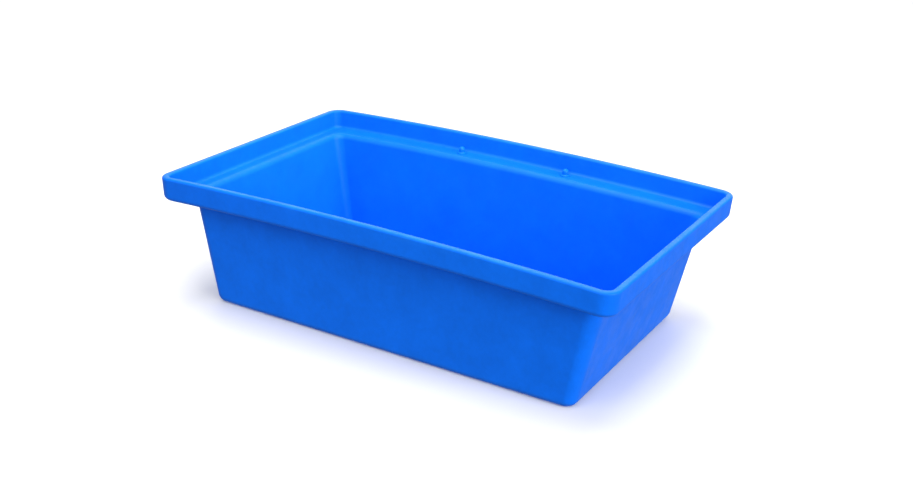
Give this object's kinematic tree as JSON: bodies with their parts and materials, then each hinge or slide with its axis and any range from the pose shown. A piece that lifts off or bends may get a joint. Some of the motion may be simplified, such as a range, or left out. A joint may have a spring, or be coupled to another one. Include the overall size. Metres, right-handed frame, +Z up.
{
  "type": "mud pan",
  "caption": "Rectangular moulded plastic mud pan with drafted walls, rounded corners, a flat ledge inside an upright lip, and domed locating pegs on the ledge of one long side.",
  "frame": {"origin": "middle of the flat underside that the pan stands on", "axes": "+X along the pan's length, +Y towards the long side that carries the pegs, +Z up out of the pan's mouth"},
  "size_m": [0.4498, 0.2782, 0.1288],
  "materials": {
    "tub_plastic": "satin moulded polyethylene, solid blue, fine orange-peel surface",
    "peg_plastic": "satin moulded polyethylene, solid blue, smoother than the tub"
  },
  "bodies": {
    "root": {"tub_shell": "tub_plastic", "locating_peg_left": "peg_plastic", "locating_peg_right": "peg_plastic"}
  },
  "joints": []
}
